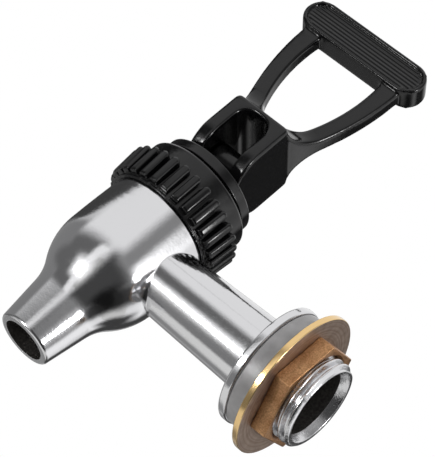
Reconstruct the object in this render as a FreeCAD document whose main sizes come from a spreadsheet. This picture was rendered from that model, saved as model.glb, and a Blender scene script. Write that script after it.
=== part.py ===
import FreeCAD, Part
import math
import os
import re
import Sketcher
from FreeCAD import Placement, Rotation, Vector

# Beverage dispenser spigot, in millimetres.
# The origin is on the shank's axis, at the back face of the flange that meets the dispenser's wall.
# +Y points through the wall, +Z up along the valve axis from the spout to the lever.

# Driving sizes. Heights and drops are counted from the shank's axis unless a note says otherwise.
SIZES = {
    # Cast body: spout, bulb and neck
    "shank_reach": 43.1,  # valve axis to the flange's back face
    "spout_drop": 31.4,
    "spout_taper": 7.4,  # degrees
    "spout_wall": 1.6,
    "tip_rounding": 0.7,
    "waist_arc": 12,  # hollow curve above the spout
    "shoulder_arc": 17,  # full curve under the bulb
    "shoulder_lean": 36,  # degrees from the axis, where the two curves meet
    "shoulder_drop": 5,
    "bulb_radius": 13.7,
    "crown_arc": 300,
    "neck_radius": 12.9,
    "chamber_radius": 10.9,
    "seat_drop": 18.5,
    "seat_run": 8,
    # Cast body: shank, flange and threaded end
    "shank_root_radius": 7.7,
    "shank_end_radius": 8.7,
    "flange_radius": 14.66,
    "flange_thickness": 2.1,
    "flange_fillet": 2,
    "flange_rounding": 0.5,
    "thread_radius": 10.48,
    "thread_length": 13.6,
    "thread_chamfer": 0.5,
    "inlet_bore": 6.4,
    "socket_bore": 8.2,
    "socket_depth": 14,
    # Bonnet
    "bonnet_base": 9.6,
    "bonnet_height": 21.6,
    "bonnet_radius": 14.2,
    "bonnet_rounding": 0.9,
    "bonnet_roof": 1.6,
    "bonnet_lip_drop": 0.7,  # the plain edge below the ribs
    "land_radius": 10.5,
    "land_rise": 0.95,
    "rib_count": 30,
    "rib_width": 2.1,
    "rib_length": 7.8,
    "rib_foot_height": 1.6,  # above the bonnet's wall
    "rib_head_height": 1,
    "rib_root": 0.6,  # how far a rib reaches into the wall
    # Thrust collar
    "collar_radius": 12.5,
    "collar_thickness": 2.5,
    "collar_rounding": 0.35,
    # Lever: clevis block with cams
    "cam_height": 6.3,  # pin above the collar, lever upright
    "cam_flat": 2.2,  # half the flat under the upright lever
    "block_depth": 20.2,
    "block_width": 15.4,
    "block_rise": 11.5,  # above the pin
    "block_rounding": 1.2,  # along its top
    "block_edge_rounding": 0.8,  # round its two open faces
    "slot_width": 8.4,
    "slot_rise": 9.8,  # above the pin
    "slot_rounding": 3.4,
    # Lever: arms and crossbar, heights counted from the pin
    "arm_root_half": 7.6,
    "arm_top_half": 14.4,
    "arm_arc": 70,
    "arm_depth": 4.2,
    "arm_rounding": 0.7,
    "flare_half_depth": 8.3,
    "flare_rise": 19.5,
    "window_low_half": 6.1,
    "window_low_rise": 18.2,
    "window_lean": 22.7,  # degrees from the axis, where the window's foot meets its sides
    "window_top_half": 9.3,
    "bar_rise": 45,
    "bar_length": 35.4,
    "bar_depth": 6.5,
    "bar_rim": 1,
    "bar_rounding": 0.5,
    "recess_depth": 0.9,
    "grip_rib_count": 7,
    "grip_rib_width": 0.42,
    "grip_rib_height": 0.4,
    "grip_rib_pitch": 0.93,
    "grip_rib_margin": 0.5,  # bare floor beside the outermost ribs
    # Pin and stem
    "pin_radius": 1.5,
    "pin_recess": 0.2,  # below the cheek it is pressed in through
    "pin_reach": 6.2,  # past the valve axis, into the blind cheek
    "rod_radius": 2.6,
    "eye_radius": 3.9,
    "eye_width": 7.6,
    "plate_radius": 5.2,
    "plate_thickness": 1.2,
    "button_radius": 2.8,
    "button_height": 2.2,
    "button_neck_radius": 1.8,
    "button_neck": 1.8,
    # Return spring
    "wire_radius": 0.5,
    "coil_radius": 4.2,
    "coil_turns": 8,
    # Seat cup
    "rim_thickness": 1.35,
    "cup_top_radius": 10.6,
    "cup_low_radius": 7.6,
    "cup_bend_drop": 8,
    "cup_wall": 1.1,
    "cup_floor": 7.1,
    # Washers and nut on the shank
    "panel_washer_width": 3.7,  # from bore to rim
    "panel_washer_thickness": 4.75,
    "brass_washer_width": 6.87,
    "brass_washer_thickness": 1.45,
    "nut_sides": 6,
    "nut_flats": 23.6,
    "nut_thickness": 3.9,
    "nut_turn": 3.2,  # degrees
    # Fits
    "contact_gap": 0.02,
    "running_gap": 0.05,
    "skirt_gap": 0.15,
    "seat_gap": 0.2,
    "cam_gap": 0.1,
    "rod_gap": 0.15,
    "pin_gap": 0.05,
    "thread_gap": 0.12,
    "overcut": 1,  # how far a cut runs past what it cuts
}

# Places worked out from the driving sizes
PLACES = {
    "shoulder_end_radius": "bulb_radius - shoulder_arc * (1 - cos(shoulder_lean))",
    "shoulder_end_drop": "shoulder_drop + shoulder_arc * sin(shoulder_lean)",
    "waist_radius": "shoulder_end_radius - waist_arc * (cos(spout_taper) - cos(shoulder_lean))",
    "waist_drop": "shoulder_end_drop + waist_arc * (sin(shoulder_lean) - sin(spout_taper))",
    "tip_radius": "waist_radius - (spout_drop - waist_drop) * tan(spout_taper)",
    "spout_bore": "tip_radius - spout_wall",
    "bonnet_lip": "bonnet_base - bonnet_lip_drop",
    "ledge_height": "bonnet_lip - skirt_gap",
    "crown_fall": "crown_arc - sqrt(crown_arc ^ 2 - (ledge_height + shoulder_drop) ^ 2)",
    "ledge_radius": "bulb_radius - crown_fall",
    "roof_height": "bonnet_height - bonnet_roof",
    "rim_top": "roof_height - contact_gap",
    "neck_height": "rim_top - rim_thickness - contact_gap",
    "skirt_bore": "neck_radius + skirt_gap",
    "flange_front": "shank_reach - flange_thickness",
    "thread_end": "shank_reach + thread_length",
    "socket_floor": "thread_end - socket_depth",
    "rod_hole": "rod_radius + rod_gap",
    "land_height": "bonnet_height + land_rise",
    "rib_foot_radius": "bonnet_radius + rib_foot_height",
    "rib_lean": "atan((rib_foot_height - rib_head_height) / rib_length) / 1deg",
    "rib_depth": "rib_foot_height + rib_root",
    "collar_base": "land_height + running_gap",
    "collar_top": "collar_base + collar_thickness",
    "cam_base": "collar_top + cam_gap",
    "pin_height": "cam_base + cam_height",
    "block_half": "block_depth / 2",
    "block_top": "pin_height + block_rise",
    "slot_top": "pin_height + slot_rise",
    "cam_run": "block_half - cam_flat",
    "cam_climb": "cam_height + cam_flat",
    "cam_low_arc": "(cam_run * cos(45) - cam_climb * (1 - cos(45))) / (2 * cos(45) - 1)",
    "cam_high_arc": "(cam_climb * cos(45) - cam_run * (1 - cos(45))) / (2 * cos(45) - 1)",
    "cam_mid_x": "cam_flat + cam_low_arc * sin(45)",
    "cam_mid_height": "cam_base + cam_low_arc * (1 - cos(45))",
    "bar_height": "pin_height + bar_rise",
    "recess_half": "((grip_rib_count - 1) * grip_rib_pitch + grip_rib_width) / 2 + grip_rib_margin",
    "bar_half": "recess_half + bar_rim",
    "window_low": "pin_height + window_low_rise",
    "window_top": "bar_height - bar_half",
    "window_out": "window_top_half - window_low_half",
    "window_up": "window_top - window_low",
    "window_chord": "sqrt(window_out ^ 2 + window_up ^ 2)",
    "window_tilt": "atan(window_out / window_up) / 1deg",
    "window_arc": "window_chord / 2 / sin(window_lean - window_tilt)",
    "window_foot_arc": "window_low_half / cos(window_lean)",
    "flare_top": "pin_height + flare_rise",
    "flare_in": "flare_half_depth - arm_depth / 2",
    "flare_arc": "(flare_in ^ 2 + (flare_top - block_top) ^ 2) / (2 * flare_in)",
    "seat_slope": "seat_run / (chamber_radius - spout_bore)",
    "nose_base": "seat_gap - seat_drop",
    "cup_shoulder": "nose_base + (cup_low_radius - spout_bore) * seat_slope",
    "cup_floor_top": "nose_base + cup_floor",
    "plate_base": "cup_floor_top + contact_gap",
    "plate_top": "plate_base + plate_thickness",
    "button_top": "plate_base - button_neck",
    "button_base": "button_top - button_height",
    "spring_base": "plate_top + wire_radius + contact_gap",
    "spring_rise": "roof_height - plate_top - 2 * wire_radius - 2 * contact_gap",
    "half_turn_rise": "spring_rise / coil_turns / 2",
    "half_turn_arc": "sqrt(coil_radius ^ 2 + (half_turn_rise / 2) ^ 2)",
    "half_turn_lean": "atan(half_turn_rise / 2 / coil_radius) / 1deg",
    "brass_washer_start": "panel_washer_thickness + contact_gap",
    "nut_start": "brass_washer_start + brass_washer_thickness + contact_gap",
    "flat_angle": "360 / nut_sides",
    "nut_corner": "nut_flats / 2 / cos(flat_angle / 2)",
    "threaded_bore": "thread_radius + thread_gap",
    "panel_washer_radius": "threaded_bore + panel_washer_width",
    "brass_washer_radius": "threaded_bore + brass_washer_width",
}

SAME_PLACE = 0.001  # edges nearer than this lie on the same plane
LEAST_RISE = 1  # an edge that rises less than this crosses an arm, and isn't rounded

doc = FreeCAD.newDocument("beverage_spigot")


def linked(text, names):
    """Put the sheet's name before each size in an expression."""
    return re.sub(r"[a-z_]+", lambda word: names.get(word[0], word[0]), text)


def fill_sheet(name, rows, names):
    sheet = doc.addObject("Spreadsheet::Sheet", name)
    for row, (alias, content) in enumerate(rows.items(), start=1):
        formula = isinstance(content, str)
        sheet.set(f"A{row}", alias)
        sheet.set(f"B{row}", "=" + linked(content, names) if formula else str(content))
        sheet.setAlias(f"B{row}", alias)
    doc.recompute()
    return sheet


SIZE_NAMES = {alias: "Sizes." + alias for alias in SIZES}
ALL_NAMES = {**SIZE_NAMES, **{alias: "Places." + alias for alias in PLACES}}
sizes = fill_sheet("Sizes", SIZES, {})
places = fill_sheet("Places", PLACES, SIZE_NAMES)


def number(text):
    return float(sizes.evalExpression(linked(text, ALL_NAMES)))


def drive(item, target, text):
    item.setExpression(target, linked(text, ALL_NAMES))


def make_body(label, along="0", up="0"):
    """A body whose own origin stands at this distance along the shank's axis."""
    body = doc.addObject("PartDesign::Body", label)
    body.Label = label
    drive(body, "Placement.Base.y", along)
    drive(body, "Placement.Base.z", up)
    return body


def make_valve_body(label):
    """A body whose own origin is where the valve axis meets the shank's axis."""
    return make_body(label, "-shank_reach")


def origin_item(body, role):
    return next(item for item in body.Origin.OriginFeatures if item.Role == role)


def arc_between(start, end, radius, turn):
    """The short arc from start to end that turns left or right on its way."""
    chord = end - start
    side = 1 if turn == "left" else -1
    left = Vector(-chord.y, chord.x, 0).normalize() * side
    rise = math.sqrt(max(radius ** 2 - (chord.Length / 2) ** 2, 0))
    centre = (start + end) / 2 + left * rise
    return Part.Arc(start, centre - left * radius, end)


def constrain(sketch, kind, places_on_edge, text):
    index = sketch.addConstraint(Sketcher.Constraint(kind, *places_on_edge, number(text)))
    drive(sketch, f"Constraints[{index}]", text)


def draw_loop(sketch, corners):
    """Draw a closed outline. A corner is (x, y), or (x, y, radius, turn) where an arc leads to it."""
    points = [Vector(number(corner[0]), number(corner[1]), 0) for corner in corners]
    edges = []
    for index, corner in enumerate(corners):
        start, end = points[index - 1], points[index]
        if len(corner) == 2:
            edge = sketch.addGeometry(Part.LineSegment(start, end))
        else:
            edge = sketch.addGeometry(arc_between(start, end, number(corner[2]), corner[3]))
            constrain(sketch, "Radius", (edge,), corner[2])
        gap_at_first, gap_at_last = (sketch.getPoint(edge, tip).distanceToPoint(end) for tip in (1, 2))
        edges.append((edge, 1, 2) if gap_at_last < gap_at_first else (edge, 2, 1))
    for index, corner in enumerate(corners):
        edge, _, last = edges[index]
        following, first, _ = edges[(index + 1) % len(edges)]
        sketch.addConstraint(Sketcher.Constraint("Coincident", edge, last, following, first))
        constrain(sketch, "DistanceX", (edge, last), corner[0])
        constrain(sketch, "DistanceY", (edge, last), corner[1])


def draw_circle(sketch, x, y, radius):
    centre = Vector(number(x), number(y), 0)
    edge = sketch.addGeometry(Part.Circle(centre, Vector(0, 0, 1), number(radius)))
    constrain(sketch, "Radius", (edge,), radius)
    constrain(sketch, "DistanceX", (edge, 3), x)
    constrain(sketch, "DistanceY", (edge, 3), y)


def flipped(corners):
    """The same outline on the other side of the sketch's vertical axis."""
    turns = {"left": "right", "right": "left"}
    return [(f"-({c[0]})", c[1], *c[2:3], *(turns[turn] for turn in c[3:])) for c in corners]


def new_sketch(body, name, plane, offset=None):
    sketch = body.newObject("Sketcher::SketchObject", name)
    sketch.AttachmentSupport = [(origin_item(body, plane), "")]
    sketch.MapMode = "FlatFace"
    if offset:
        drive(sketch, "AttachmentOffset.Base.z", offset)
    return sketch


def profile(body, name, plane, *loops, offset=None):
    sketch = new_sketch(body, name, plane, offset)
    for loop in loops:
        draw_loop(sketch, loop)
    doc.recompute()
    return sketch


def spin(body, name, kind, sketch, axis):
    feature = body.newObject("PartDesign::" + kind, name)
    feature.Profile = sketch
    feature.ReferenceAxis = (sketch, [axis])
    feature.Angle = 360
    return settle(body, feature, kind == "Groove")


def pad(body, name, sketch, length, side="Symmetric", back=False):
    feature = body.newObject("PartDesign::Pad", name)
    feature.Profile = sketch
    feature.SideType = side
    feature.Reversed = back
    drive(feature, "Length", length)
    return settle(body, feature, False)


def pocket(body, name, sketch, depth=None, side="Symmetric", back=False):
    feature = body.newObject("PartDesign::Pocket", name)
    feature.Profile = sketch
    feature.SideType = side
    feature.Reversed = back
    if depth:
        drive(feature, "Length", depth)
    else:
        feature.Type = "ThroughAll"
    return settle(body, feature, True)


def settle(body, feature, cuts):
    """Recompute, and make sure that a cut took something away and the rest added something."""
    before = feature.BaseFeature.Shape.Volume if feature.BaseFeature else 0
    doc.recompute()
    change = feature.Shape.Volume - before
    if change == 0 or (change < 0) != cuts:
        raise RuntimeError(f"{body.Label}: {feature.Name} changed the volume by {change}")
    return feature


def round_edges(body, name, radius, chosen):
    """Round the outer edges, of all that the body has so far, that the test chooses."""
    base = body.Tip
    names = [f"Edge{index}" for index, edge in enumerate(base.Shape.Edges, start=1) if chosen(edge)]
    feature = body.newObject("PartDesign::Fillet", name)
    feature.Base = (base, names)
    drive(feature, "Radius", radius)
    return settle(body, feature, True)


def lies_at(edge, distance):
    """True if the whole edge is this far from the valve plane, on either side."""
    box = edge.BoundBox
    return all(abs(abs(x) - distance) < SAME_PLACE for x in (box.XMin, box.XMax))


def finish_pattern(body, pattern):
    body.Tip = pattern
    doc.recompute()
    return pattern


def make_faucet_body():
    """One casting: spout, bulb and neck on the valve axis, shank, flange and thread across it."""
    body = make_valve_body("faucet_body")
    bulb = profile(body, "BulbProfile", "YZ_Plane", [
        ("0", "-spout_drop"),
        ("tip_radius - tip_rounding", "-spout_drop"),
        ("tip_radius + tip_rounding * tan(spout_taper)", "tip_rounding - spout_drop",
         "tip_rounding", "left"),
        ("waist_radius", "-waist_drop"),
        ("shoulder_end_radius", "-shoulder_end_drop", "waist_arc", "right"),
        ("bulb_radius", "-shoulder_drop", "shoulder_arc", "left"),
        ("ledge_radius", "ledge_height", "crown_arc", "left"),
        ("neck_radius", "ledge_height"),
        ("neck_radius", "neck_height"),
        ("0", "neck_height"),
    ])
    spin(body, "Bulb", "Revolution", bulb, "V_Axis")
    shank = profile(body, "ShankProfile", "YZ_Plane", [
        ("0", "0"),
        ("0", "shank_root_radius"),
        ("flange_front - flange_fillet", "shank_end_radius"),
        ("flange_front", "shank_end_radius + flange_fillet", "flange_fillet", "left"),
        ("flange_front", "flange_radius - flange_rounding"),
        ("flange_front + flange_rounding", "flange_radius", "flange_rounding", "right"),
        ("shank_reach - flange_rounding", "flange_radius"),
        ("shank_reach", "flange_radius - flange_rounding", "flange_rounding", "right"),
        ("shank_reach", "thread_radius"),
        ("thread_end - thread_chamfer", "thread_radius"),
        ("thread_end", "thread_radius - thread_chamfer"),
        ("thread_end", "0"),
    ])
    spin(body, "Shank", "Revolution", shank, "H_Axis")
    chamber = profile(body, "ChamberProfile", "YZ_Plane", [
        ("0", "-spout_drop - overcut"),
        ("spout_bore", "-spout_drop - overcut"),
        ("spout_bore", "-seat_drop"),
        ("chamber_radius", "seat_run - seat_drop"),
        ("chamber_radius", "neck_height + overcut"),
        ("0", "neck_height + overcut"),
    ])
    spin(body, "Chamber", "Groove", chamber, "V_Axis")
    inlet = profile(body, "InletProfile", "YZ_Plane", [
        ("0", "0"),
        ("0", "inlet_bore"),
        ("socket_floor", "inlet_bore"),
        ("socket_floor", "socket_bore"),
        ("thread_end + overcut", "socket_bore"),
        ("thread_end + overcut", "0"),
    ])
    spin(body, "Inlet", "Groove", inlet, "H_Axis")
    return body


def make_bonnet():
    """Screw cap: a plain wall with ribs standing on it, and a raised land for the collar."""
    body = make_valve_body("bonnet")
    shell = profile(body, "ShellProfile", "YZ_Plane", [
        ("rod_hole", "roof_height"),
        ("skirt_bore", "roof_height"),
        ("skirt_bore", "bonnet_lip"),
        ("bonnet_radius", "bonnet_lip"),
        ("bonnet_radius", "bonnet_height - bonnet_rounding"),
        ("bonnet_radius - bonnet_rounding", "bonnet_height", "bonnet_rounding", "left"),
        ("land_radius", "bonnet_height"),
        ("land_radius", "land_height"),
        ("rod_hole", "land_height"),
    ])
    spin(body, "Shell", "Revolution", shell, "V_Axis")
    rib = profile(body, "RibOutline", "XZ_Plane", [
        ("-rib_width / 2", "0"),
        ("rib_width / 2", "0"),
        ("rib_width / 2", "rib_length - rib_width / 2"),
        ("0", "rib_length", "rib_width / 2", "left"),
        ("-rib_width / 2", "rib_length - rib_width / 2", "rib_width / 2", "left"),
    ])
    rib.AttachmentOffset = Placement(Vector(), Rotation(Vector(1, 0, 0), -number("rib_lean")))
    drive(rib, "AttachmentOffset.Base.y", "bonnet_base")
    drive(rib, "AttachmentOffset.Base.z", "rib_foot_radius")
    drive(rib, "AttachmentOffset.Rotation.Angle", "-rib_lean")
    doc.recompute()
    rise = pad(body, "Rib", rib, "rib_depth", side="One side", back=True)
    ring = body.newObject("PartDesign::PolarPattern", "Ribs")
    ring.Originals = [rise]
    ring.Axis = (origin_item(body, "Z_Axis"), [""])
    ring.Angle = 360
    drive(ring, "Occurrences", "rib_count")
    finish_pattern(body, ring)
    return body


def make_thrust_collar():
    """Hard disc that turns with the lever and takes the push of its cams."""
    body = make_valve_body("thrust_collar")
    section = profile(body, "Section", "YZ_Plane", [
        ("rod_hole", "collar_base"),
        ("collar_radius", "collar_base"),
        ("collar_radius", "collar_top - collar_rounding"),
        ("collar_radius - collar_rounding", "collar_top", "collar_rounding", "left"),
        ("rod_hole", "collar_top"),
    ])
    spin(body, "Disc", "Revolution", section, "V_Axis")
    return body


def stadium(half_length, half_width, middle):
    """Outline of a bar with round ends, drawn in quarter turns."""
    straight = f"{half_length} - {half_width}"
    return [
        (straight, f"{middle} - {half_width}"),
        (half_length, middle, half_width, "left"),
        (straight, f"{middle} + {half_width}", half_width, "left"),
        (f"-({straight})", f"{middle} + {half_width}"),
        (f"-({half_length})", middle, half_width, "left"),
        (f"-({straight})", f"{middle} - {half_width}", half_width, "left"),
    ]


def make_lever_handle():
    """One moulding: clevis block with cam feet, two arms that flare into it, and a grooved crossbar."""
    body = make_valve_body("lever_handle")
    add_arms(body)
    add_crossbar(body)
    add_clevis(body)
    return body


def add_arms(body):
    arms = profile(body, "ArmOutline", "YZ_Plane", [
        ("arm_root_half", "block_top - overcut"),
        ("arm_top_half", "bar_height", "arm_arc", "left"),
        ("-arm_top_half", "bar_height"),
        ("-arm_root_half", "block_top - overcut", "arm_arc", "left"),
    ], [
        ("window_low_half", "window_low", "window_foot_arc", "left"),
        ("window_top_half", "window_top", "window_arc", "left"),
        ("-window_top_half", "window_top"),
        ("-window_low_half", "window_low", "window_arc", "left"),
    ])
    pad(body, "Arms", arms, "block_depth")
    flare = [
        ("flare_half_depth", "block_top"),
        ("arm_depth / 2", "flare_top", "flare_arc", "right"),
        ("arm_depth / 2", "bar_height + overcut"),
        ("block_half + overcut", "bar_height + overcut"),
        ("block_half + overcut", "block_top - 2 * overcut"),
        ("flare_half_depth", "block_top - 2 * overcut"),
    ]
    sides = profile(body, "FlareOutline", "XZ_Plane", flare, flipped(flare))
    pocket(body, "Flare", sides)
    low, high = number("block_top"), number("window_top")
    round_edges(body, "ArmEdges", "arm_rounding",
                lambda edge: edge.BoundBox.ZMax > low and edge.BoundBox.ZMin < high
                and edge.BoundBox.ZLength > LEAST_RISE)


def add_crossbar(body):
    bar = profile(body, "BarOutline", "YZ_Plane", stadium("bar_length / 2", "bar_half", "bar_height"))
    pad(body, "Crossbar", bar, "bar_depth")
    face = number("bar_depth / 2")
    round_edges(body, "BarEdges", "bar_rounding", lambda edge: lies_at(edge, face))
    recess = profile(body, "RecessOutline", "YZ_Plane",
                     stadium("(bar_length / 2 - bar_rim)", "recess_half", "bar_height"),
                     offset="bar_depth / 2")
    cut = pocket(body, "Recess", recess, "recess_depth", side="One side")
    ribs = profile(body, "GripRibOutline", "YZ_Plane", *grip_ribs(), offset="bar_depth / 2 - recess_depth")
    rise = pad(body, "GripRibs", ribs, "grip_rib_height", side="One side")
    other_face = body.newObject("PartDesign::Mirrored", "OtherFace")
    other_face.Originals = [cut, rise]
    other_face.MirrorPlane = (origin_item(body, "YZ_Plane"), [""])
    finish_pattern(body, other_face)


def grip_ribs():
    """Thin ribs along the recess, each as long as the recess's round ends allow."""
    for index in range(int(number("grip_rib_count"))):
        middle = f"({index} - (grip_rib_count - 1) / 2) * grip_rib_pitch"
        edge = f"(abs({middle}) + grip_rib_width / 2)"
        reach = f"(bar_length / 2 - bar_half + sqrt(recess_half ^ 2 - {edge} ^ 2) - grip_rib_width)"
        low = f"bar_height + {middle} - grip_rib_width / 2"
        high = f"bar_height + {middle} + grip_rib_width / 2"
        yield [(f"-{reach}", low), (reach, low), (reach, high), (f"-{reach}", high)]


def add_clevis(body):
    block = profile(body, "BlockOutline", "YZ_Plane", [
        ("slot_width / 2", "cam_base"),
        ("block_width / 2", "cam_base"),
        ("block_width / 2", "block_top - block_rounding"),
        ("block_width / 2 - block_rounding", "block_top", "block_rounding", "left"),
        ("block_rounding - block_width / 2", "block_top"),
        ("-block_width / 2", "block_top - block_rounding", "block_rounding", "left"),
        ("-block_width / 2", "cam_base"),
        ("-slot_width / 2", "cam_base"),
        ("-slot_width / 2", "slot_top - slot_rounding"),
        ("slot_rounding - slot_width / 2", "slot_top", "slot_rounding", "right"),
        ("slot_width / 2 - slot_rounding", "slot_top"),
        ("slot_width / 2", "slot_top - slot_rounding", "slot_rounding", "right"),
    ])
    pad(body, "Block", block, "block_depth")
    face, foot = number("block_half"), number("cam_base")
    round_edges(body, "BlockEdges", "block_edge_rounding",
                lambda edge: lies_at(edge, face) and edge.BoundBox.ZMax > foot + SAME_PLACE)
    relief = [
        ("cam_flat", "cam_base - overcut"),
        ("cam_flat", "cam_base"),
        ("cam_mid_x", "cam_mid_height", "cam_low_arc", "left"),
        ("block_half", "pin_height + cam_flat", "cam_high_arc", "left"),
        ("block_half + overcut", "pin_height + cam_flat"),
        ("block_half + overcut", "cam_base - overcut"),
    ]
    cams = profile(body, "CamOutline", "XZ_Plane", relief, flipped(relief))
    pocket(body, "Cams", cams)
    hole = new_sketch(body, "PinHoleCircle", "XZ_Plane", "-(pin_reach + contact_gap)")
    draw_circle(hole, "0", "pin_height", "pin_radius + contact_gap")
    doc.recompute()
    pocket(body, "PinHole", hole, side="One side", back=True)


def make_stem():
    """Rod with an eye for the pin, a plate for the spring and a button that snaps into the cup."""
    body = make_valve_body("stem")
    rod = profile(body, "RodProfile", "YZ_Plane", [
        ("0", "button_base"),
        ("button_radius", "button_base"),
        ("button_radius", "button_top"),
        ("button_neck_radius", "button_top"),
        ("button_neck_radius", "plate_base"),
        ("plate_radius", "plate_base"),
        ("plate_radius", "plate_top"),
        ("rod_radius", "plate_top"),
        ("rod_radius", "pin_height"),
        ("0", "pin_height"),
    ])
    spin(body, "Rod", "Revolution", rod, "V_Axis")
    eye = new_sketch(body, "EyeCircle", "XZ_Plane")
    draw_circle(eye, "0", "pin_height", "eye_radius")
    doc.recompute()
    pad(body, "Eye", eye, "eye_width")
    hole = new_sketch(body, "EyeHoleCircle", "XZ_Plane")
    draw_circle(hole, "0", "pin_height", "pin_radius + pin_gap")
    doc.recompute()
    pocket(body, "EyeHole", hole)
    return body


def make_lever_pin():
    """Plain pin, pressed in through one cheek and stopped by the blind hole in the other."""
    pin = doc.addObject("Part::Cylinder", "lever_pin")
    pin.Label = "lever_pin"
    pin.Placement = Placement(Vector(), Rotation(Vector(1, 0, 0), -90))
    drive(pin, "Radius", "pin_radius")
    drive(pin, "Height", "block_width / 2 - pin_recess + pin_reach")
    drive(pin, "Placement.Base.y", "pin_recess - block_width / 2 - shank_reach")
    drive(pin, "Placement.Base.z", "pin_height")
    return pin


def make_return_spring():
    """Round wire in half turns: each is a flat leaning arc, and the next is the same one turned and raised."""
    lean = Rotation(Vector(0, 1, 0), number("half_turn_lean"))
    half_turns = []
    for index in range(int(2 * number("coil_turns"))):
        arc = doc.addObject("Part::Torus", "HalfTurn")
        arc.Placement = Placement(Vector(), Rotation(Vector(0, 0, 1), 180 * index) * lean)
        arc.Angle3 = 180
        drive(arc, "Radius1", "half_turn_arc")
        drive(arc, "Radius2", "wire_radius")
        drive(arc, "Placement.Base.y", "-shank_reach")
        drive(arc, "Placement.Base.z", f"spring_base + {index + 0.5} * half_turn_rise")
        half_turns.append(arc)
    spring = doc.addObject("Part::MultiFuse", "return_spring")
    spring.Label = "return_spring"
    spring.Shapes = half_turns
    return spring


def make_seat_cup():
    """Silicone bell: its rim is clamped under the bonnet, its nose shuts the seat."""
    body = make_valve_body("seat_cup")
    section = profile(body, "Section", "YZ_Plane", [
        ("cup_top_radius - cup_wall", "rim_top"),
        ("neck_radius - contact_gap", "rim_top"),
        ("neck_radius - contact_gap", "neck_height + contact_gap"),
        ("cup_top_radius", "neck_height + contact_gap"),
        ("cup_low_radius", "-cup_bend_drop"),
        ("cup_low_radius", "cup_shoulder"),
        ("spout_bore", "nose_base"),
        ("0", "nose_base"),
        ("0", "button_base - running_gap"),
        ("button_radius + running_gap", "button_base - running_gap"),
        ("button_radius + running_gap", "button_top + running_gap"),
        ("button_neck_radius + running_gap", "button_top + running_gap"),
        ("button_neck_radius + running_gap", "cup_floor_top"),
        ("cup_low_radius - cup_wall", "cup_floor_top"),
        ("cup_low_radius - cup_wall", "-cup_bend_drop"),
        ("cup_top_radius - cup_wall", "neck_height"),
    ])
    spin(body, "Bell", "Revolution", section, "V_Axis")
    return body


def make_ring(label, start, thickness, outer_radius):
    """A flat ring on the shank."""
    body = make_body(label, start)
    section = profile(body, "Section", "YZ_Plane", [
        ("0", "threaded_bore"),
        (thickness, "threaded_bore"),
        (thickness, outer_radius),
        ("0", outer_radius),
    ])
    spin(body, "Ring", "Revolution", section, "H_Axis")
    return body


def make_lock_nut():
    body = make_body("lock_nut", "nut_start")
    angles = [f"(nut_turn + {corner + 0.5} * flat_angle)" for corner in range(int(number("nut_sides")))]
    corners = [(f"nut_corner * cos({angle})", f"nut_corner * sin({angle})") for angle in angles]
    hexagon = profile(body, "Hexagon", "XZ_Plane", corners)
    pad(body, "Blank", hexagon, "nut_thickness", side="One side", back=True)
    bore = new_sketch(body, "BoreCircle", "XZ_Plane")
    draw_circle(bore, "0", "0", "threaded_bore")
    doc.recompute()
    pocket(body, "Bore", bore)
    return body


parts = [
    make_faucet_body(),
    make_bonnet(),
    make_thrust_collar(),
    make_lever_handle(),
    make_stem(),
    make_lever_pin(),
    make_return_spring(),
    make_seat_cup(),
    make_ring("panel_washer", "0", "panel_washer_thickness", "panel_washer_radius"),
    make_ring("brass_washer", "brass_washer_start", "brass_washer_thickness", "brass_washer_radius"),
    make_lock_nut(),
]
doc.recompute()

for item in doc.Objects:
    if "Invalid" in item.State or "Error" in item.State:
        raise RuntimeError(f"{item.Label} failed: {item.State}")
for part in parts:
    if part.Shape.isNull() or not part.Shape.isValid() or len(part.Shape.Solids) != 1:
        raise RuntimeError(f"{part.Label} is not one sound solid")

os.makedirs("parts", exist_ok=True)
for part in parts:
    part.Shape.exportStep(f"parts/{part.Label}.step")
    box = part.Shape.BoundBox
    print(f"{part.Label}: {part.Shape.Volume:.1f} mm3, z {box.ZMin:.2f} to {box.ZMax:.2f}")
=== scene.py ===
import math

import bmesh
import bpy
from mathutils import Matrix, Vector


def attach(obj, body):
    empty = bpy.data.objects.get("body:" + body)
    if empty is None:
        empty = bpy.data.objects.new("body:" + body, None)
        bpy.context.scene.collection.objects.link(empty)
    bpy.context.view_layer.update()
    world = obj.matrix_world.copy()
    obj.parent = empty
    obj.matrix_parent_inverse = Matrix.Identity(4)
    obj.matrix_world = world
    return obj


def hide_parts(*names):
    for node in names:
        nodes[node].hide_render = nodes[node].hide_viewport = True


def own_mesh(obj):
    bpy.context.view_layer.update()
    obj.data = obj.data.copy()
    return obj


# Beverage dispenser spigot. Shapes are drawn in millimetres and placed in the model's own frame,
# which has the shank along Y, through the dispenser's wall, and the valve upright on Z.

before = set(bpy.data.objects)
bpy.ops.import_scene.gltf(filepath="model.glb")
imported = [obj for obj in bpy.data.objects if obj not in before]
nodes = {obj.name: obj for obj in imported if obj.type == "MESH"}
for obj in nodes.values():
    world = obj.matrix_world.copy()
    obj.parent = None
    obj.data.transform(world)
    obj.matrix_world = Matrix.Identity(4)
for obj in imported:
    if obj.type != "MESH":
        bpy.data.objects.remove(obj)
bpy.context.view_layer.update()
print("frame loaded:", len(nodes), "solids")

millimetre = 0.001
shankReach = 43.1  # valve axis to the flange's back face
overcut = 1  # how far a cutting shape reaches past what it cuts
weldDistance = 0.0005
sliver = 0.0001  # an edge shorter than this is dissolved
arcStep = 4  # degrees that one edge of an arc spans, unless the arc is so short that it gets four
alongShank = Matrix.Rotation(math.radians(-90), 4, "X")
alongValve = Matrix.Translation((0, -shankReach, 0))


# Meshes

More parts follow.
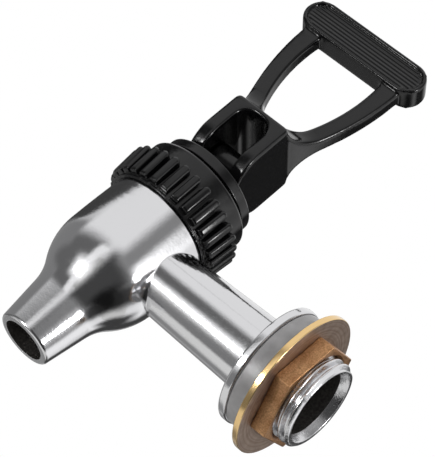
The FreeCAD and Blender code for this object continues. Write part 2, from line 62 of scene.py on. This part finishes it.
def drawProfile(strokes):
    # (radius, height) draws a line to a point, and (radius, height, degrees) turns round a centre
    bm = bmesh.new()
    tip = bm.verts.new((strokes[0][0], 0, strokes[0][1]))
    for stroke in strokes[1:]:
        if len(stroke) == 2:
            tip = bmesh.ops.extrude_vert_indiv(bm, verts=[tip])["verts"][0]
            tip.co = (stroke[0], 0, stroke[1])
        else:
            arc = bmesh.ops.spin(bm, geom=[tip], cent=(stroke[0], 0, stroke[1]), axis=(0, -1, 0),
                                 angle=math.radians(stroke[2]), steps=max(4, round(abs(stroke[2]) / arcStep)))
            tip = arc["geom_last"][0]
    return bm


def closeProfile(bm):
    bm.edges.new([vert for vert in bm.verts if len(vert.link_edges) == 1])


def cleanUp(bm):
    bmesh.ops.remove_doubles(bm, verts=bm.verts, dist=weldDistance)
    bmesh.ops.recalc_face_normals(bm, faces=bm.faces)
    return bm


def turn(strokes, placement, steps=128):
    bm = drawProfile(strokes)
    closeProfile(bm)
    bmesh.ops.spin(bm, geom=bm.verts[:] + bm.edges[:], cent=(0, 0, 0), axis=(0, 0, 1),
                   angle=math.tau, steps=steps, use_merge=True)
    bmesh.ops.dissolve_degenerate(bm, edges=bm.edges, dist=sliver)
    bmesh.ops.transform(bm, matrix=placement, verts=bm.verts)
    return cleanUp(bm)


def draftObject(bm, material):
    mesh = bpy.data.meshes.new("draft")
    bm.to_mesh(mesh)
    bm.free()
    mesh.materials.append(material)
    piece = bpy.data.objects.new("draft", mesh)
    bpy.context.scene.collection.objects.link(piece)
    return piece


def combine(first, second, operation):
    cut = first.modifiers.new("combine", "BOOLEAN")
    cut.operation, cut.solver, cut.object, cut.material_mode = operation, "EXACT", second, "TRANSFER"
    done = first.evaluated_get(bpy.context.evaluated_depsgraph_get())
    mesh = bpy.data.meshes.new_from_object(done)
    first.modifiers.remove(cut)
    first.data = mesh
    bpy.data.objects.remove(second)
    return first


def finishPiece(piece, name, body, replaced, sharpAngle=32):
    piece.name = piece.data.name = name
    piece.data.transform(Matrix.Scale(millimetre, 4))
    piece.data.shade_smooth()
    piece.data.set_sharp_from_angle(angle=math.radians(sharpAngle))
    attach(piece, body)
    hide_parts(replaced)
    print("made", name, len(piece.data.polygons), "faces")
    return piece


# Materials

def linear(code):
    channels = [int(code[place:place + 2], 16) / 255 for place in (1, 3, 5)]
    return [c / 12.92 if c <= 0.04045 else ((c + 0.055) / 1.055) ** 2.4 for c in channels] + [1]


def feed(tree, node, inputs):
    for name, value in inputs.items():
        if isinstance(value, bpy.types.NodeSocket):
            tree.links.new(value, node.inputs[name])
        else:
            node.inputs[name].default_value = value


def addNode(tree, kind, settings=None, inputs=None):
    node = tree.nodes.new("ShaderNode" + kind)
    for name, value in (settings or {}).items():
        setattr(node, name, value)
    feed(tree, node, inputs or {})
    return node


def newMaterial(name):
    material = bpy.data.materials.new(name)
    material.use_nodes = True
    tree = material.node_tree
    shader = tree.nodes["Principled BSDF"]
    place = addNode(tree, "TexCoord").outputs["Object"]
    return material, tree, shader, place


def perMetre(size):
    return 1 / (size * millimetre)  # noise scale for a pattern of this size in millimetres


def noise(tree, place, size, detail, roughness=0.5):
    inputs = {"Vector": place, "Scale": perMetre(size), "Detail": detail, "Roughness": roughness}
    return addNode(tree, "TexNoise", inputs=inputs).outputs["Fac"]


def relief(tree, height, strength, depth, normal=None):
    # a bump of this depth in millimetres, on top of the normal it is given
    inputs = {"Height": height, "Strength": strength, "Distance": depth * millimetre}
    if normal is not None:
        inputs["Normal"] = normal
    return addNode(tree, "Bump", inputs=inputs).outputs["Normal"]


def softEdges(tree, radius):
    # a worn or moulded edge of this radius in millimetres catches the light
    return addNode(tree, "Bevel", {"samples": 12}, {"Radius": radius * millimetre}).outputs["Normal"]


def ramp(tree, value, stops):
    node = addNode(tree, "ValToRGB", inputs={"Fac": value})
    while len(node.color_ramp.elements) < len(stops):
        node.color_ramp.elements.new(0.5)
    for element, (position, colour) in zip(node.color_ramp.elements, stops):
        element.position = position
        element.color = linear(colour) if isinstance(colour, str) else (colour, colour, colour, 1)
    return node.outputs["Color"]


def mixColours(tree, mode, share, first, second):
    # a Mix node keeps its two colours in sockets 6 and 7, and their mixture in output 2
    settings = {"data_type": "RGBA", "blend_type": mode}
    return addNode(tree, "Mix", settings, {"Factor": share, 6: first, 7: second}).outputs[2]


def chromePlate(name, waviness, grain, dullest):
    # bright chrome over a casting: mirror gloss, with faint waves and the grain that buffing leaves
    material, tree, shader, place = newMaterial(name)
    waves, buffing = noise(tree, place, 2.2, 3), noise(tree, place, 0.35, 4)
    wavy = relief(tree, waves, waviness, 0.1, softEdges(tree, 0.35))
    feed(tree, shader, {
        "Base Color": linear("#d6d6d8"),
        "Metallic": 1,
        "Roughness": ramp(tree, buffing, [(0.3, 0.07), (0.75, dullest)]),
        "Normal": relief(tree, buffing, grain, 0.03, wavy),
    })
    return material


def boredBrass():
    # bored cast brass left bare inside: dull and dark, with fine turning marks
    material, tree, shader, place = newMaterial("boredBrass")
    marks = noise(tree, place, 0.5, 4)
    feed(tree, shader, {
        "Base Color": ramp(tree, marks, [(0.3, "#4a4846"), (0.7, "#6a6764")]),
        "Metallic": 0.9,
        "Roughness": 0.45,
        "Normal": relief(tree, marks, 0.2, 0.05),
    })
    return material


def blackAcetal(name, edge):
    # injection-moulded black acetal: glossy from a polished mould, with faint sink and flow marks
    material, tree, shader, place = newMaterial(name)
    sink, flow = noise(tree, place, 3.2, 2), noise(tree, place, 0.8, 4)
    uneven = relief(tree, sink, 0.3, 0.1, softEdges(tree, edge))
    feed(tree, shader, {
        "Base Color": ramp(tree, flow, [(0.3, "#050506"), (0.7, "#0a0a0b")]),
        "Roughness": ramp(tree, flow, [(0.3, 0.1), (0.75, 0.19)]),
        "IOR": 1.43,
        "Normal": relief(tree, flow, 0.12, 0.04, uneven),
    })
    return material


def drawnSteel():
    # drawn stainless steel: bright, with fine die marks
    material, tree, shader, place = newMaterial("drawnSteel")
    marks = noise(tree, place, 0.2, 3)
    feed(tree, shader, {
        "Base Color": linear("#bdbcb8"),
        "Metallic": 1,
        "Roughness": ramp(tree, marks, [(0.3, 0.22), (0.7, 0.36)]),
        "Normal": relief(tree, marks, 0.1, 0.02),
    })
    return material


def silicone(name, colour, shade, clearness):
    # moulded silicone rubber: soft sheen, some light passes through it
    material, tree, shader, place = newMaterial(name)
    cloud = noise(tree, place, 3, 3)
    feed(tree, shader, {
        "Base Color": ramp(tree, cloud, [(0.3, shade), (0.7, colour)]),
        "Roughness": 0.28,
        "IOR": 1.41,
        "Transmission Weight": clearness,
        "Normal": relief(tree, cloud, 0.1, 0.1),
    })
    return material


def turnedBrass(rimStart, rimEnd):
    # brass turned bright on its rim, with dull stamped faces that keep faint rings from the tool
    material, tree, shader, place = newMaterial("turnedBrass")
    flat = addNode(tree, "VectorMath", {"operation": "MULTIPLY"}, {0: place, 1: (1, 0, 1)}).outputs[0]
    radius = addNode(tree, "VectorMath", {"operation": "LENGTH"}, {0: flat}).outputs["Value"]
    span = {"Value": radius, "From Min": rimStart * millimetre, "From Max": rimEnd * millimetre}
    rim = addNode(tree, "MapRange", inputs=span).outputs["Result"]
    rings = addNode(tree, "TexNoise", {"noise_dimensions": "1D"},
                    {"W": radius, "Scale": perMetre(0.55), "Detail": 2}).outputs["Fac"]
    tarnish = ramp(tree, noise(tree, place, 2.2, 6), [(0.3, "#9b887b"), (0.7, "#b8a597")])
    scores = ramp(tree, rings, [(0.4, "#a98f7c"), (0.55, "#ffffff")])
    face = mixColours(tree, "MULTIPLY", 0.35, tarnish, scores)
    gloss = {"Value": rim, "To Min": 0.42, "To Max": 0.14}
    feed(tree, shader, {
        "Base Color": mixColours(tree, "MIX", rim, face, linear("#e6c48c")),
        "Metallic": 1,
        "Roughness": addNode(tree, "MapRange", inputs=gloss).outputs["Result"],
        "Normal": relief(tree, rings, 0.35, 0.1),
    })
    return material


def castBrass():
    # sand-cast brass left raw: granular, bronze brown, brighter where the grain stands up
    material, tree, shader, place = newMaterial("castBrass")
    grain, patches = noise(tree, place, 0.4, 6, 0.75), noise(tree, place, 3.5, 3)
    patched = ramp(tree, patches, [(0.3, "#b98a60"), (0.7, "#dcae80")])
    pitted = ramp(tree, grain, [(0.38, "#7d5c3c"), (0.62, "#ffffff")])
    feed(tree, shader, {
        "Base Color": mixColours(tree, "MULTIPLY", 0.6, patched, pitted),
        "Metallic": 1,
        "Roughness": 0.34,
        "Normal": relief(tree, grain, 0.8, 0.14),
    })
    return material


chrome = chromePlate("chromePlate", 0.22, 0.3, 0.14)
roughChrome = chromePlate("unbuffedChrome", 0.9, 1, 0.3)  # on the thread and inside its mouth
bored = boredBrass()
acetal = blackAcetal("blackAcetal", 0.4)
roundAcetal = blackAcetal("roundAcetal", 0)  # for a piece whose mesh has its edges rounded
steel = drawnSteel()
turned = turnedBrass(17.28, 17.38)  # the washer's bright rim starts between these radii
cast = castBrass()
clearSilicone = silicone("clearSilicone", "#a6a5a6", "#8b8a8b", 0.3)
whiteSilicone = silicone("whiteSilicone", "#e4e3df", "#d6d5d0", 0.05)
print("materials made")


# Cast body: bulb, spout and shank, with a cut thread

castBody = {
    "tip": -31.4, "tipRadius": 6.846, "taper": 7.4, "tipRounding": 0.7,
    "waist": 12, "waistRadius": 8.262, "waistHeight": -20.5,
    "shoulder": 17, "shoulderLean": 36, "bulbRadius": 13.7, "bulbHeight": -5,
    "crown": 300, "ledge": 8.75, "neckRadius": 12.9, "neckTop": 18.61,
    "bore": 5.246, "seatLow": -18.5, "seatHigh": -10.5, "chamber": 10.9,
    "shankRoot": 7.7, "shankEnd": 8.7, "flange": 14.66, "flangeThickness": 2.1, "flangeFillet": 2,
    "flangeRounding": 0.5, "threadEnd": 13.6, "inlet": 6.4, "socket": 8.2, "socketDepth": 14,
}
thread = {
    "crest": 10.48, "root": 9.35, "pitch": 1.814, "flat": 0.32, "chamfer": 0.6,
    "steps": 96, "spareTurns": 3, "buried": 0.5,
}
mouthCone = {  # depths below the shank's end, and widths past the socket
    "foot": 1.9, "footWidth": 0.03, "lip": 0.06, "lipWidth": 0.75, "topWidth": 1.35,
}


def threadedRod():
    # one pitch of the thread's outline is spun up the shank, cut to length and chamfered
    t = thread
    root, crest, pitch, flat = t["root"], t["crest"], t["pitch"], t["flat"]
    turns = math.ceil(castBody["threadEnd"] / pitch) + t["spareTurns"]
    bm = drawProfile([
        (root, 0),
        (root, flat / 2),
        (crest, (pitch - flat) / 2),
        (crest, (pitch + flat) / 2),
        (root, pitch - flat / 2),
        (root, pitch),
    ])
    bmesh.ops.spin(bm, geom=bm.verts[:] + bm.edges[:], cent=(0, 0, 0), axis=(0, 0, 1),
                   angle=math.tau * turns, steps=t["steps"] * turns, dvec=(0, 0, pitch / t["steps"]))
    bmesh.ops.translate(bm, verts=bm.verts, vec=(0, 0, -t["spareTurns"] / 2 * pitch))
    bmesh.ops.remove_doubles(bm, verts=bm.verts, dist=weldDistance)
    for height, outwards in ((-t["buried"], -1), (castBody["threadEnd"], 1)):
        bmesh.ops.bisect_plane(bm, geom=bm.verts[:] + bm.edges[:] + bm.faces[:], plane_co=(0, 0, height),
                               plane_no=(0, 0, outwards), clear_outer=True)
    bmesh.ops.holes_fill(bm, edges=[edge for edge in bm.edges if edge.is_boundary])
    bmesh.ops.transform(bm, matrix=alongShank, verts=bm.verts)
    envelope = [
        (0, -overcut),
        (crest, -overcut),
        (crest, castBody["threadEnd"] - t["chamfer"]),
        (crest - t["chamfer"], castBody["threadEnd"]),
        (0, castBody["threadEnd"]),
    ]
    rod = draftObject(cleanUp(bm), roughChrome)
    return combine(rod, draftObject(turn(envelope, alongShank), roughChrome), "INTERSECT")


def bulbProfile():
    c = castBody
    lean = math.radians(c["taper"])
    tipFlat = c["tipRadius"] - c["tipRounding"] * (1 - math.sin(lean)) / math.cos(lean)
    waistCentre = (c["waistRadius"] + c["waist"] * math.cos(lean),
                   c["waistHeight"] - c["waist"] * math.sin(lean))
    crownTurn = math.degrees(math.asin((c["ledge"] - c["bulbHeight"]) / c["crown"]))
    return [
        (0, c["tip"]),
        (tipFlat, c["tip"]),
        (tipFlat, c["tip"] + c["tipRounding"], 90 - c["taper"]),
        (c["waistRadius"], c["waistHeight"]),
        (*waistCentre, c["taper"] - c["shoulderLean"]),
        (c["bulbRadius"] - c["shoulder"], c["bulbHeight"], c["shoulderLean"]),
        (c["bulbRadius"] - c["crown"], c["bulbHeight"], crownTurn),
        (c["neckRadius"], c["ledge"]),
        (c["neckRadius"], c["neckTop"]),
        (0, c["neckTop"]),
    ]


def shankProfile():
    c = castBody
    front, rounding = -c["flangeThickness"], c["flangeRounding"]
    return [
        (0, -shankReach),
        (c["shankRoot"], -shankReach),
        (c["shankEnd"], front - c["flangeFillet"]),
        (c["shankEnd"] + c["flangeFillet"], front - c["flangeFillet"], -90),
        (c["flange"] - rounding, front),
        (c["flange"] - rounding, front + rounding, 90),
        (c["flange"], -rounding),
        (c["flange"] - rounding, -rounding, 90),
        (0, 0),
    ]


def makeCastBody():
    c, m = castBody, mouthCone
    chamber = [
        (0, c["tip"] - overcut),
        (c["bore"], c["tip"] - overcut),
        (c["bore"], c["seatLow"]),
        (c["chamber"], c["seatHigh"]),
        (c["chamber"], c["neckTop"] + overcut),
        (0, c["neckTop"] + overcut),
    ]
    socketFloor = c["threadEnd"] - c["socketDepth"]
    inlet = [
        (0, -shankReach),
        (c["inlet"], -shankReach),
        (c["inlet"], socketFloor),
        (c["socket"], socketFloor),
        (c["socket"], c["threadEnd"] + overcut),
        (0, c["threadEnd"] + overcut),
    ]
    mouth = [
        (0, c["threadEnd"] - m["foot"]),
        (c["socket"] + m["footWidth"], c["threadEnd"] - m["foot"]),
        (c["socket"] + m["lipWidth"], c["threadEnd"] - m["lip"]),
        (c["socket"] + m["topWidth"], c["threadEnd"] + overcut),
        (0, c["threadEnd"] + overcut),
    ]
    piece = draftObject(turn(bulbProfile(), alongValve, steps=160), chrome)
    piece = combine(piece, draftObject(turn(shankProfile(), alongShank), chrome), "UNION")
    piece = combine(piece, threadedRod(), "UNION")
    piece = combine(piece, draftObject(turn(chamber, alongValve), bored), "DIFFERENCE")
    piece = combine(piece, draftObject(turn(inlet, alongShank), bored), "DIFFERENCE")
    piece = combine(piece, draftObject(turn(mouth, alongShank), roughChrome), "DIFFERENCE")
    finishPiece(piece, "castBody", "tap_body", "faucet_body")


makeCastBody()


# Washers and lock nut on the shank

ringShapes = {
    "siliconeWasher": {"bore": 10.6, "rim": 14.3, "low": 0, "high": 4.75, "rounding": 0.45},
    "brassWasher": {"bore": 10.6, "rim": 17.47, "low": 4.77, "high": 6.22, "rounding": 0.2},
}
lockNut = {
    "flats": 23.6, "low": 6.24, "high": 10.14, "bore": 10.6,
    "firstCorner": 33.2, "edge": 0.28, "countersink": 0.5,
}


def makeRing(name, body, replaced, material):
    s = ringShapes[name]
    rounding, low, high, bore, rim = s["rounding"], s["low"], s["high"], s["bore"], s["rim"]
    section = [
        (bore, low),
        (rim - rounding, low),
        (rim - rounding, low + rounding, 90),
        (rim, high - rounding),
        (rim - rounding, high - rounding, 90),
        (bore, high),
    ]
    finishPiece(draftObject(turn(section, alongShank), material), name, body, replaced)


def makeLockNut():
    n = lockNut
    bm = bmesh.new()
    halfSide = 30  # degrees, half of what one side of the hexagon spans
    corners = n["flats"] / 2 / math.cos(math.radians(halfSide))
    bmesh.ops.create_circle(bm, cap_ends=True, segments=6, radius=corners)
    bmesh.ops.rotate(bm, verts=bm.verts,
                     matrix=Matrix.Rotation(math.radians(n["firstCorner"] - halfSide), 3, "Z"))
    rise = bmesh.ops.extrude_face_region(bm, geom=bm.faces[:])
    bmesh.ops.translate(bm, verts=[item for item in rise["geom"] if isinstance(item, bmesh.types.BMVert)],
                        vec=(0, 0, n["high"] - n["low"]))
    bmesh.ops.translate(bm, verts=bm.verts, vec=(0, 0, n["low"]))
    bmesh.ops.bevel(bm, geom=bm.edges[:], offset=n["edge"], segments=3, profile=0.5, material=-1,
                    affect="EDGES")
    bmesh.ops.transform(bm, matrix=alongShank @ Matrix.Scale(-1, 4, (0, 1, 0)), verts=bm.verts)
    sink = n["bore"] + n["countersink"]
    bore = [
        (0, n["low"] - overcut),
        (sink + overcut, n["low"] - overcut),
        (n["bore"], n["low"] + n["countersink"]),
        (n["bore"], n["high"] - n["countersink"]),
        (sink + overcut, n["high"] + overcut),
        (0, n["high"] + overcut),
    ]
    blank = draftObject(cleanUp(bm), cast)
    piece = combine(blank, draftObject(turn(bore, alongShank), cast), "DIFFERENCE")
    finishPiece(piece, "lockNut", "nut", "lock_nut")


makeRing("siliconeWasher", "tap_body", "panel_washer", clearSilicone)
makeRing("brassWasher", "backing_washer", "brass_washer", turned)
makeLockNut()


# Screw bonnet with thirty round-topped ribs

screwBonnet = {
    "stemHole": 2.75, "roof": 20, "skirt": 13.05, "lip": 8.9, "wall": 14.2, "top": 21.6, "rounding": 0.9,
    "land": 10.5, "landTop": 22.55,
    "ribs": 30, "ribWidth": 2.1, "ribLength": 7.8, "ribFoot": 9.6, "ribRoot": 13.6, "ribDepth": 2.2,
    "ribLean": 4.4, "ribRounding": 0.72,
}


def bonnetRibs():
    b = screwBonnet
    half, straight = b["ribWidth"] / 2, b["ribLength"] - b["ribWidth"] / 2
    bm = drawProfile([(-half, 0), (half, 0), (half, straight), (0, straight, 180)])
    closeProfile(bm)
    outline = bmesh.ops.contextual_create(bm, geom=bm.edges[:])["faces"]
    rise = bmesh.ops.extrude_face_region(bm, geom=outline)["geom"]
    crest = [item for item in rise if isinstance(item, bmesh.types.BMVert)]
    bmesh.ops.translate(bm, verts=crest, vec=(0, -b["ribDepth"], 0))
    bmesh.ops.rotate(bm, verts=crest, cent=(0, -b["ribDepth"], 0),
                     matrix=Matrix.Rotation(math.radians(b["ribLean"]), 3, "X"))
    edges = [edge for edge in bm.edges if all(vert in crest for vert in edge.verts)]
    bmesh.ops.bevel(bm, geom=edges, offset=b["ribRounding"], segments=5, profile=0.5, material=-1,
                    affect="EDGES")
    bmesh.ops.translate(bm, verts=bm.verts, vec=(0, -b["ribRoot"], b["ribFoot"]))
    bmesh.ops.spin(bm, geom=bm.verts[:] + bm.edges[:] + bm.faces[:], cent=(0, 0, 0), axis=(0, 0, 1),
                   angle=math.tau * (1 - 1 / b["ribs"]), steps=b["ribs"] - 1, use_duplicate=True)
    bmesh.ops.transform(bm, matrix=alongValve, verts=bm.verts)
    return draftObject(cleanUp(bm), acetal)


def makeBonnet():
    b = screwBonnet
    shell = [
        (b["stemHole"], b["roof"]),
        (b["skirt"], b["roof"]),
        (b["skirt"], b["lip"]),
        (b["wall"], b["lip"]),
        (b["wall"], b["top"] - b["rounding"]),
        (b["wall"] - b["rounding"], b["top"] - b["rounding"], 90),
        (b["land"], b["top"]),
        (b["land"], b["landTop"]),
        (b["stemHole"], b["landTop"]),
    ]
    piece = combine(draftObject(turn(shell, alongValve), acetal), bonnetRibs(), "UNION")
    finishPiece(piece, "screwBonnet", "tap_body", "bonnet")


makeBonnet()


# Valve inside the body: return spring and seat cup, each given a mesh of its own

closedSpring = {
    "wire": 0.5, "coil": 4.2, "low": -9.46, "high": 19.48, "turns": 8, "endPitch": 1.02, "steps": 36,
}
bellCup = {
    "nose": -18.3, "noseRadius": 5.246, "noseRounding": 0.5, "shoulder": -14.97, "lowRadius": 7.6, "bend": -8,
    "topRadius": 10.6, "wall": 1.1, "floor": -11.2, "rim": 12.88, "rimLow": 18.63, "rimHigh": 19.98,
    "pocketLow": -15.28, "pocketHigh": -12.88, "pocket": 2.9, "neck": 1.9,
}


def flatten(piece):
    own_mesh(piece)


def makeReturnSpring():
    # open coils between two closed ones, each wound on from the end of the last
    s = closedSpring
    bm = bmesh.new()
    ring = bmesh.ops.create_circle(bm, cap_ends=False, segments=12, radius=s["wire"])["verts"]
    bmesh.ops.rotate(bm, verts=ring, matrix=Matrix.Rotation(math.radians(90), 3, "X"))
    bmesh.ops.translate(bm, verts=ring, vec=(s["coil"], 0, s["low"]))
    openTurns = s["turns"] - 2
    openPitch = (s["high"] - s["low"] - 2 * s["endPitch"]) / openTurns
    wire = bm.edges[:]
    for turns, pitch in ((1, s["endPitch"]), (openTurns, openPitch), (1, s["endPitch"])):
        wound = bmesh.ops.spin(bm, geom=wire, cent=(0, 0, 0), axis=(0, 0, 1), angle=math.tau * turns,
                               steps=s["steps"] * turns, dvec=(0, 0, pitch / s["steps"]))
        wire = [item for item in wound["geom_last"] if isinstance(item, bmesh.types.BMEdge)]
    bmesh.ops.holes_fill(bm, edges=[edge for edge in bm.edges if edge.is_boundary])
    bmesh.ops.transform(bm, matrix=alongValve, verts=bm.verts)
    flatten(finishPiece(draftObject(cleanUp(bm), steel), "returnSpring", "swivel", "return_spring"))


def makeSeatCup():
    c = bellCup
    section = [
        (0, c["nose"]),
        (c["noseRadius"] - c["noseRounding"], c["nose"]),
        (c["noseRadius"], c["nose"] + c["noseRounding"] / 2),
        (c["lowRadius"], c["shoulder"]),
        (c["lowRadius"], c["bend"]),
        (c["topRadius"], c["rimLow"]),
        (c["rim"], c["rimLow"]),
        (c["rim"], c["rimHigh"]),
        (c["topRadius"] - c["wall"], c["rimHigh"]),
        (c["topRadius"] - c["wall"], c["rimLow"]),
        (c["lowRadius"] - c["wall"], c["bend"]),
        (c["lowRadius"] - c["wall"], c["floor"]),
        (c["neck"], c["floor"]),
        (c["neck"], c["pocketHigh"]),
        (c["pocket"], c["pocketHigh"]),
        (c["pocket"], c["pocketLow"]),
        (0, c["pocketLow"]),
    ]
    cup = draftObject(turn(section, alongValve, steps=96), whiteSilicone)
    flatten(finishPiece(cup, "seatCup", "tap_body", "seat_cup"))


makeReturnSpring()
makeSeatCup()


# Lever: the solid's skin in small even steps, evened out until its corners are as round as a mould leaves
# them. The ribs on the crossbar's grip are evened out less, and the step is a quarter of their pitch.

leverSkin = {
    "step": 0.2325, "rounds": 16, "gripRounds": 3,
    "gripFace": 2.1, "gripLength": 16.2, "gripMiddle": 76.5, "gripHalf": 3.4,
}


def onGrip(place):
    s = leverSkin
    return (abs(place.x) > s["gripFace"] and abs(place.y + shankReach) < s["gripLength"]
            and abs(place.z - s["gripMiddle"]) < s["gripHalf"])


def makeLever():
    s = leverSkin
    solid = nodes["lever_handle"]
    rebuilt = solid.modifiers.new("skin", "REMESH")
    rebuilt.mode, rebuilt.voxel_size = "VOXEL", s["step"] * millimetre
    done = solid.evaluated_get(bpy.context.evaluated_depsgraph_get())
    bm = bmesh.new()
    bm.from_mesh(done.to_mesh())
    done.to_mesh_clear()
    solid.modifiers.remove(rebuilt)
    bmesh.ops.transform(bm, matrix=Matrix.Scale(1 / millimetre, 4) @ solid.matrix_world, verts=bm.verts)
    plain = [vert for vert in bm.verts if not onGrip(vert.co)]
    for rounds, verts in ((s["gripRounds"], bm.verts[:]), (s["rounds"], plain)):
        for _ in range(rounds):
            bmesh.ops.smooth_vert(bm, verts=verts, factor=0.5,
                                  use_axis_x=True, use_axis_y=True, use_axis_z=True)
    piece = draftObject(bm, roundAcetal)
    finishPiece(piece, "leverHandle", "lever", "lever_handle", sharpAngle=180)


makeLever()


# Solids whose shape is right keep it and take a real finish

finishes = {"thrust_collar": acetal, "stem": acetal, "lever_pin": steel}
for nodeName, material in finishes.items():
    nodes[nodeName].data.materials.clear()
    nodes[nodeName].data.materials.append(material)
print("solids finished:", len(finishes))


# Studio, in metres and degrees

studio = {"floorHeight": -0.9, "floorSize": 6, "floorColour": "#f8f8f6", "ambient": 0.8}
lamps = {  # azimuth from +X, elevation, distance, width, height, power
    "sideLamp": (72, 16, 0.7, 0.4, 0.4, 2.0),
    "frontLamp": (-30, 34, 0.8, 0.6, 0.6, 2.0),
    "lowLamp": (-20, -42, 0.6, 0.4, 0.3, 0.8),
}
cards = {  # azimuth from +X, elevation, half width and height, brightness beside the white room, fade, lean
    "lowTube": (-24, -43, 10, 4, 30, 5, 0),
    "sideTube": (76, 7, 8, 4, 30, 5, 0),
    "lowCard": (-22, -41, 20, 12, 1.6, 22, 0),
    "stripCard": (-10, -15, 9, 15, 1.1, 9, 0.3),
    "sideCard": (74, 16, 18, 9, 2.4, 22, 0),
    "rightCard": (135, 6, 23, 6, 1.2, 16, 0),
    "leftFlag": (-138, 25, 70, 9, 0.06, 7, 4),
    "leftGreyFlag": (-118, 3, 50, 16, 0.26, 14, 0),
    "blackFlag": (90, -43, 29, 21, 0.01, 24, 0),
    "middleFlag": (52, 30, 30, 34, 0.3, 24, 0),
    "rightLowFlag": (43, -30, 35, 36, 0.07, 24, 0),
    "darkFlag": (92, -15, 22, 20, 0.05, 22, 0),
    "frontLowFlag": (-69, -18, 64, 23, 0.16, 22, 0),
    "backFlag": (164, 8, 26, 34, 0.06, 14, 0),
    "leftBackFlag": (-160, -28, 24, 14, 0.3, 16, 0),
    "underFlag": (-21, -74, 90, 20, 0.25, 22, 0),
}
cardDistance = 0.6
cardSpacing = 0.004  # each card lies this far behind the one before
steepest = 89  # degrees, so that no card reaches the pole
tapMiddle = Vector((0, -0.035, 0))
view = {  # fitted to the photograph's outline: from below, with the shank's end towards the camera
    "lens": 179.03, "sensor": 36, "nearest": 0.01, "place": (0.4095, 0.1657, -0.1842),
    "right": (-0.00636448, 0.71856205, 0.69543373),
    "up": (0.56935389, -0.569113, 0.59325083),
    "back": (0.82206791, 0.39972363, -0.40549399),
}


def makeFloor():
    bm = bmesh.new()
    bmesh.ops.create_grid(bm, x_segments=8, y_segments=8, size=studio["floorSize"] / 2)
    bmesh.ops.translate(bm, verts=bm.verts, vec=(0, 0, studio["floorHeight"]))
    material, tree, shader, place = newMaterial("paintedFloor")  # matt paint
    feed(tree, shader, {"Base Color": linear(studio["floorColour"]), "Roughness": 0.9})
    floor = draftObject(bm, material)
    floor.name = "floor"


def makeWorld():
    # white to the camera, to gloss and through glass, and a little dimmer as the light on everything else
    world = bpy.data.worlds.new("studio")
    bpy.context.scene.world = world
    world.use_nodes = True
    tree = world.node_tree
    tree.nodes.clear()
    rays = addNode(tree, "LightPath").outputs
    seen = rays["Is Camera Ray"]
    for kind in ("Is Glossy Ray", "Is Transmission Ray"):
        seen = addNode(tree, "Math", {"operation": "MAXIMUM"}, {0: seen, 1: rays[kind]}).outputs[0]
    white = (1, 1, 1, 1)
    backdrop = addNode(tree, "Background", inputs={"Color": white, "Strength": 1.0}).outputs[0]
    ambient = addNode(tree, "Background", inputs={"Color": white, "Strength": studio["ambient"]}).outputs[0]
    mixed = addNode(tree, "MixShader", inputs={0: seen, 1: ambient, 2: backdrop})
    addNode(tree, "OutputWorld", inputs={"Surface": mixed.outputs[0]})


def towards(azimuth, elevation):
    around, up = math.radians(azimuth), math.radians(elevation)
    return Vector((math.cos(around) * math.cos(up), math.sin(around) * math.cos(up), math.sin(up)))


def makeLamps():
    for name, (azimuth, elevation, distance, width, height, power) in lamps.items():
        away = towards(azimuth, elevation)
        lamp = bpy.data.lights.new(name, "AREA")
        lamp.shape, lamp.size, lamp.size_y, lamp.energy = "RECTANGLE", width, height, power
        stand = bpy.data.objects.new(name, lamp)
        stand.location = tapMiddle + away * distance
        stand.rotation_euler = away.to_track_quat("Z", "Y").to_euler()
        stand.visible_camera = stand.visible_glossy = False  # the cards are what gloss shows
        bpy.context.scene.collection.objects.link(stand)


def paperCard():
    # paper lit from behind, thinning out at its edge: both values are stored in the mesh
    material = bpy.data.materials.new("paperCard")
    material.use_nodes = True
    tree = material.node_tree
    tree.nodes.clear()
    glow = addNode(tree, "Attribute", {"attribute_name": "glow"}).outputs["Fac"]
    cover = addNode(tree, "Attribute", {"attribute_name": "cover"}).outputs["Fac"]
    paper = addNode(tree, "Emission", inputs={"Color": (1, 1, 1, 1), "Strength": glow}).outputs[0]
    clear = addNode(tree, "BsdfTransparent").outputs[0]
    mixed = addNode(tree, "MixShader", inputs={0: cover, 1: clear, 2: paper})
    addNode(tree, "OutputMaterial", inputs={"Surface": mixed.outputs[0]})
    return material


def easeIn(share):
    share = min(max(share, 0), 1)
    return share * share * (3 - 2 * share)


def makeCards():
    # curved cards round the tap that only gloss sees: they give the chrome its dark and bright bands
    material = paperCard()
    for order, (name, setting) in enumerate(cards.items()):
        azimuth, elevation, halfWidth, halfHeight, brightness, fade, lean = setting
        distance = cardDistance + cardSpacing * order
        bm = bmesh.new()
        bmesh.ops.create_grid(bm, x_segments=40, y_segments=24, size=1)
        glow, cover = bm.verts.layers.float.new("glow"), bm.verts.layers.float.new("cover")
        for vert in bm.verts:
            across, up = vert.co.x * (halfWidth + fade / 2), vert.co.y * (halfHeight + fade / 2)
            sides, ends = (halfWidth - abs(across)) / fade + 0.5, (halfHeight - abs(up)) / fade + 0.5
            vert[glow] = brightness
            vert[cover] = easeIn(sides) * easeIn(ends)
            height = min(max(elevation + up, -steepest), steepest)
            vert.co = tapMiddle + distance * towards(azimuth + across + lean * up, height)
        card = draftObject(bm, material)
        card.name = name
        card.visible_camera = card.visible_diffuse = card.visible_transmission = card.visible_shadow = False


def makeCamera():
    data = bpy.data.cameras.new("camera")
    data.lens, data.sensor_width, data.clip_start = view["lens"], view["sensor"], view["nearest"]
    camera = bpy.data.objects.new("camera", data)
    axes = Matrix((view["right"], view["up"], view["back"])).transposed().to_4x4()
    camera.matrix_world = Matrix.Translation(view["place"]) @ axes
    bpy.context.scene.collection.objects.link(camera)
    bpy.context.scene.camera = camera


makeFloor()
makeWorld()
makeLamps()
makeCards()
makeCamera()
bpy.context.scene.view_settings.view_transform = "Standard"
print("studio ready")
